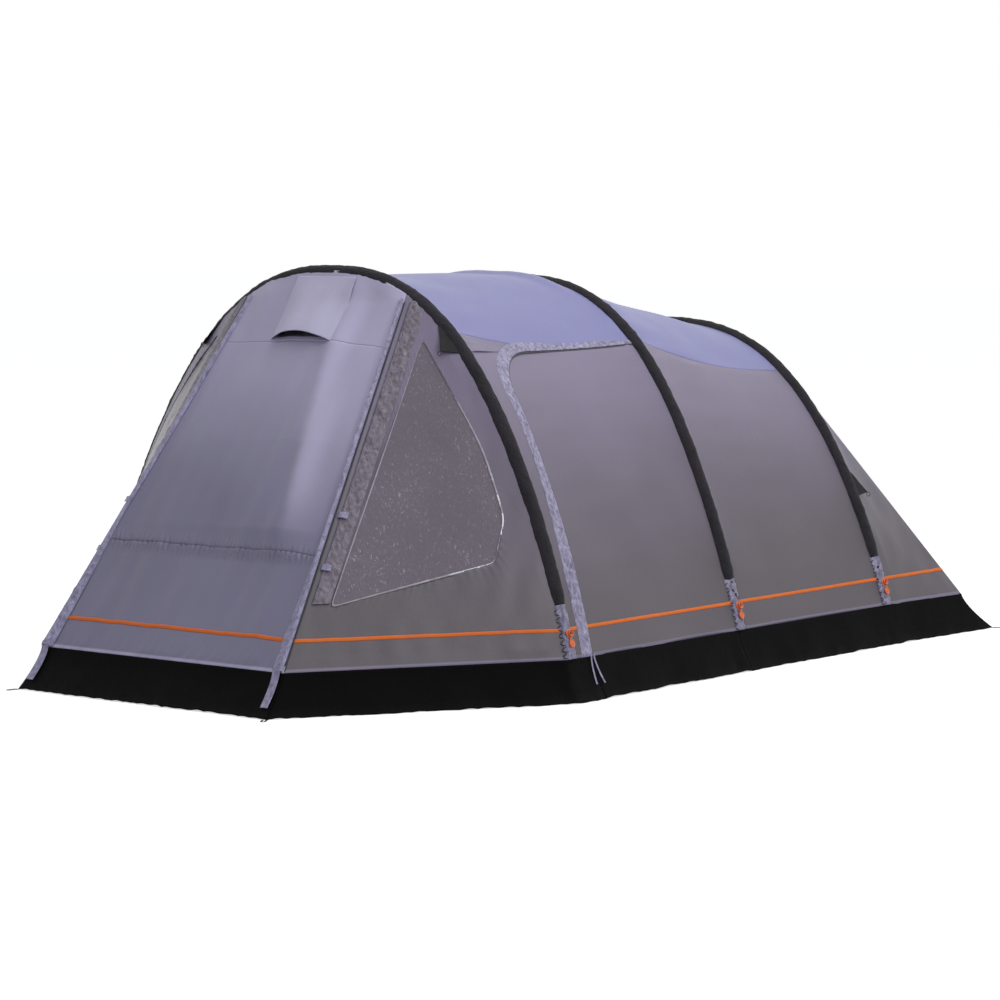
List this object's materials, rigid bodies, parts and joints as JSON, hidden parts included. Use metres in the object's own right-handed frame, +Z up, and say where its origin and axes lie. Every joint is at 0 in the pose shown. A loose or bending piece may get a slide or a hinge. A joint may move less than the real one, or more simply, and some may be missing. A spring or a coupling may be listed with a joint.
{
  "type": "inflatable tunnel tent",
  "caption": "Tunnel tent carried by air beams, with zipped front and side doors, windows, vent hood, mud skirt and inner bedroom",
  "frame": {"origin": "on the ground under the middle of the box that the pitched tent fills", "axes": "+X to the right seen from the front door, +Y from the front door to the rear, +Z up"},
  "size_m": [3.4956, 5.2368, 2.067],
  "materials": {
    "flysheet": "coated polyester, taupe grey, matt with a faint sheen",
    "front_fabric": "coated polyester, lavender grey, with a soft sheen",
    "roof_fabric": "coated polyester, bluish lavender, with a soft sheen",
    "foot_cover_fabric": "crinkled lavender polyester with a laced seam",
    "beam_sleeve_fabric": "tightly woven black sleeve cloth",
    "bladder_film": "welded polyurethane air tube",
    "mud_skirt": "black woven polyethylene skirt, slightly glossy",
    "webbing": "black webbing and reinforcement cloth",
    "window_film": "clear flexible PVC, crinkled",
    "valve_plastic": "orange moulded plastic",
    "dark_plastic": "black moulded plastic",
    "inner_fabric": "light breathable inner cloth",
    "floor_sheet": "grey waterproof groundsheet"
  },
  "bodies": {
    "tent": {"wall_rear_right": "flysheet", "wall_rear_left": "flysheet", "wall_front_left": "flysheet", "side_door_surround": "flysheet", "front_gable_right": "flysheet", "front_gable_left": "flysheet", "rear_gable_right": "flysheet", "rear_gable_left": "flysheet", "front_crown": "front_fabric", "rear_panel": "front_fabric", "roof_front": "roof_fabric", "roof_rear": "roof_fabric", "foot_cover_front_right": "foot_cover_fabric", "foot_cover_front_left": "foot_cover_fabric", "foot_cover_middle_right": "foot_cover_fabric", "foot_cover_middle_left": "foot_cover_fabric", "foot_cover_rear_right": "foot_cover_fabric", "foot_cover_rear_left": "foot_cover_fabric", "beam_sleeve_front": "beam_sleeve_fabric", "beam_sleeve_middle": "beam_sleeve_fabric", "beam_sleeve_rear": "beam_sleeve_fabric", "beam_bladder_front": "bladder_film", "beam_bladder_middle": "bladder_film", "beam_bladder_rear": "bladder_film", "skirt_front_right": "mud_skirt", "skirt_right": "mud_skirt", "skirt_rear": "mud_skirt", "skirt_left": "mud_skirt", "skirt_front_left": "mud_skirt", "peg_tab_front_right": "webbing", "peg_tab_front_left": "webbing", "peg_tab_rear_right": "webbing", "peg_tab_rear_left": "webbing", "guy_patch_front_right": "webbing", "guy_patch_front_left": "webbing", "guy_patch_rear_right": "webbing", "guy_patch_rear_left": "webbing", "window_right": "window_film", "window_left": "window_film", "valve_body_front": "valve_plastic", "valve_body_middle": "valve_plastic", "valve_body_rear": "valve_plastic", "bedroom_liner": "inner_fabric", "bedroom_front": "inner_fabric", "groundsheet": "floor_sheet", "bedroom_floor": "floor_sheet"},
    "front_door": {"front_door_upper": "front_fabric", "front_door_lower": "front_fabric", "skirt_front_door": "mud_skirt"},
    "side_door_panel": {"side_door": "flysheet", "skirt_side_door": "mud_skirt"},
    "vent_hood_flap": {"vent_hood": "front_fabric"},
    "vent_prop_strip": {"vent_prop": "dark_plastic"},
    "valve_cap_front_body": {"valve_cap_front": "valve_plastic"},
    "valve_cap_middle_body": {"valve_cap_middle": "valve_plastic"},
    "valve_cap_rear_body": {"valve_cap_rear": "valve_plastic"},
    "front_right_slider": {"zip_slider_front_right": "dark_plastic"},
    "front_left_slider": {"zip_slider_front_left": "dark_plastic"},
    "side_slider": {"zip_slider_side": "dark_plastic"},
    "bedroom_door_panel": {"bedroom_door": "inner_fabric"}
  },
  "joints": [
    {"name": "front_door_lift", "type": "hinge", "parent": "tent", "child": "front_door", "pos_m": [0, -1.343, 1.68], "axis": [-1, 0, 0], "range_deg": [0, 60]},
    {"name": "side_door_swing", "type": "hinge", "parent": "tent", "child": "side_door_panel", "pos_m": [1.658, 0.2374, 0], "axis": [-0.347, 0, 0.9379], "range_deg": [0, 90]},
    {"name": "vent_hood_close", "type": "hinge", "parent": "tent", "child": "vent_hood_flap", "pos_m": [0, -1.1963, 1.97], "axis": [1, 0, 0], "range_deg": [0, 5.5]},
    {"name": "vent_prop_fold", "type": "hinge", "parent": "vent_hood_flap", "child": "vent_prop_strip", "pos_m": [0, -1.3577, 1.79236], "axis": [1, 0, 0], "range_deg": [0, 27]},
    {"name": "valve_cap_front_hinge", "type": "hinge", "parent": "tent", "child": "valve_cap_front_body", "pos_m": [1.56164, -1.17568, 0.30512], "axis": [0, -1, 0], "range_deg": [0, 180]},
    {"name": "valve_cap_middle_hinge", "type": "hinge", "parent": "tent", "child": "valve_cap_middle_body", "pos_m": [1.55415, 0.27584, 0.30508], "axis": [0, -1, 0], "range_deg": [0, 180]},
    {"name": "valve_cap_rear_hinge", "type": "hinge", "parent": "tent", "child": "valve_cap_rear_body", "pos_m": [1.5542, 1.66984, 0.30611], "axis": [0, -1, 0], "range_deg": [0, 180]},
    {"name": "front_right_zip_slide", "type": "slide", "parent": "tent", "child": "front_right_slider", "axis": [-0.1338, 0.5801, 0.8035], "range_m": [0, 1.74]},
    {"name": "front_left_zip_slide", "type": "slide", "parent": "tent", "child": "front_left_slider", "axis": [0.1338, 0.5801, 0.8035], "range_m": [0, 1.74]},
    {"name": "side_zip_slide", "type": "slide", "parent": "tent", "child": "side_slider", "axis": [-0.2942, 0, 0.9557], "range_m": [0, 0.19]},
    {"name": "bedroom_door_swing", "type": "hinge", "parent": "tent", "child": "bedroom_door_panel", "pos_m": [-0.18, 0.2759, 0.8], "axis": [0, 0, -1], "range_deg": [0, 100]}
  ],
  "couplings": [
    {"joint": "vent_prop_fold", "follows": "vent_hood_close", "ratio": 4.7}
  ]
}
